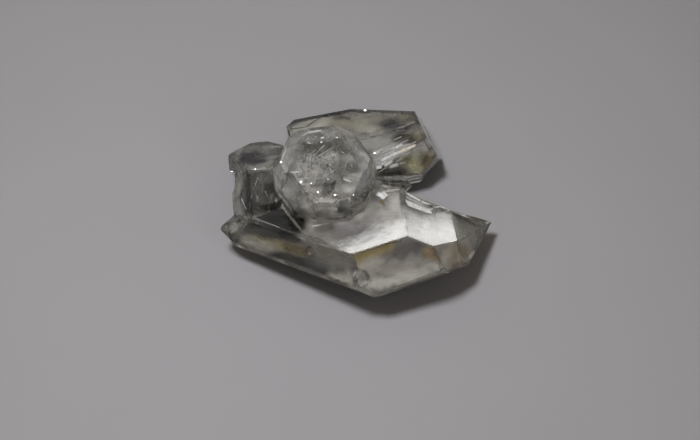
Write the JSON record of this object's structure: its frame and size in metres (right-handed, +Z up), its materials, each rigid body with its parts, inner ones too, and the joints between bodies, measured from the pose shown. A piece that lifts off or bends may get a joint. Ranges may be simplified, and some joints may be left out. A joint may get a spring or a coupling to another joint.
{
  "type": "intergrown quartz crystal cluster",
  "caption": "Small cluster of clear, doubly terminated quartz crystals grown into one another, lying on flat spots underneath.",
  "frame": {"origin": "centre of the outline in plan, at the level of the flat spots the cluster rests on", "axes": "+X along the cluster's longest extent, towards the pointed end of the largest crystal; +Y towards the back crystal; +Z up as it lies"},
  "size_m": [0.0272, 0.022, 0.0141],
  "materials": {
    "clear_quartz": "clear colourless to faintly smoky quartz with bright natural crystal faces, whitish healed fractures and a few dark carbon and iron-stained specks"
  },
  "bodies": {
    "root": {"crystal_cluster": "clear_quartz"}
  },
  "joints": []
}
